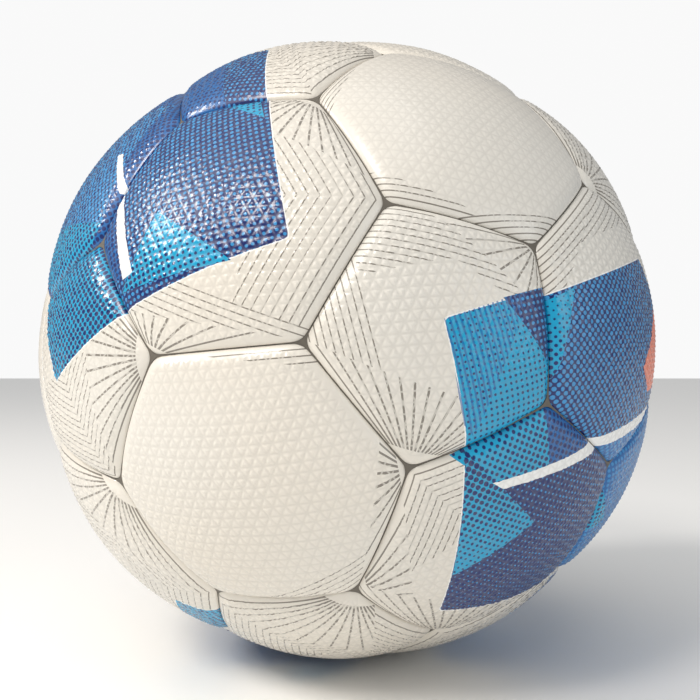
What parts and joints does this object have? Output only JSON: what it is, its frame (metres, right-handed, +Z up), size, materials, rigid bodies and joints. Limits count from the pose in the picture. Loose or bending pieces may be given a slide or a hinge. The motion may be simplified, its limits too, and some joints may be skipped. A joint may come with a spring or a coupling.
{
  "type": "football",
  "caption": "Full-size football: domed pentagon and hexagon cover panels bonded edge to edge over foam pads, cloth plies, a thread winding and a rubber bladder with a needle valve.",
  "frame": {"origin": "centre of the ball", "axes": "+Z up as the ball lies, +X to the right and +Y away when the printed pentagon is seen from the front; the valve points up, 16 degrees from +Z"},
  "size_m": [0.2198, 0.2182, 0.2184],
  "materials": {
    "cover_skin": "embossed, satin gloss, printed blue and grey on white",
    "foam": "closed-cell foam",
    "lining_cloth": "rubberised polyester and cotton cloth",
    "thread": "wound nylon thread set in latex",
    "bladder_rubber": "matt butyl rubber",
    "valve_rubber": "matt white butyl rubber",
    "silicone": "soft grey silicone",
    "patch_rubber": "matt rubber",
    "seam_glue": "set contact cement"
  },
  "bodies": {
    "root": {"balance_patch": "patch_rubber", "bladder": "bladder_rubber", "cloth_ply_inner": "lining_cloth", "cloth_ply_outer": "lining_cloth", "cover_hexagon_back_1": "cover_skin", "cover_hexagon_back_2": "cover_skin", "cover_hexagon_back_3": "cover_skin", "cover_hexagon_back_4": "cover_skin", "cover_hexagon_back_5": "cover_skin", "cover_hexagon_back_middle_1": "cover_skin", "cover_hexagon_back_middle_2": "cover_skin", "cover_hexagon_back_middle_3": "cover_skin", "cover_hexagon_back_middle_4": "cover_skin", "cover_hexagon_back_middle_5": "cover_skin", "cover_hexagon_front_1": "cover_skin", "cover_hexagon_front_2": "cover_skin", "cover_hexagon_front_3": "cover_skin", "cover_hexagon_front_4": "cover_skin", "cover_hexagon_front_5": "cover_skin", "cover_hexagon_front_middle_1": "cover_skin", "cover_hexagon_front_middle_2": "cover_skin", "cover_hexagon_front_middle_3": "cover_skin", "cover_hexagon_front_middle_4": "cover_skin", "cover_hexagon_front_middle_5": "cover_skin", "cover_pentagon_back": "cover_skin", "cover_pentagon_back_ring_1": "cover_skin", "cover_pentagon_back_ring_2": "cover_skin", "cover_pentagon_back_ring_3": "cover_skin", "cover_pentagon_back_ring_4": "cover_skin", "cover_pentagon_back_ring_5": "cover_skin", "cover_pentagon_front": "cover_skin", "cover_pentagon_front_ring_1": "cover_skin", "cover_pentagon_front_ring_2": "cover_skin", "cover_pentagon_front_ring_3": "cover_skin", "cover_pentagon_front_ring_4": "cover_skin", "cover_pentagon_front_ring_5": "cover_skin", "foam_pads_hexagon_back": "foam", "foam_pads_hexagon_back_middle": "foam", "foam_pads_hexagon_front": "foam", "foam_pads_hexagon_front_middle": "foam", "foam_pads_pentagon_back": "foam", "foam_pads_pentagon_back_ring": "foam", "foam_pads_pentagon_front": "foam", "foam_pads_pentagon_front_ring": "foam", "seam_bead": "seam_glue", "thread_winding": "thread", "valve_body": "valve_rubber", "valve_collar": "valve_rubber", "valve_core": "silicone"}
  },
  "joints": []
}
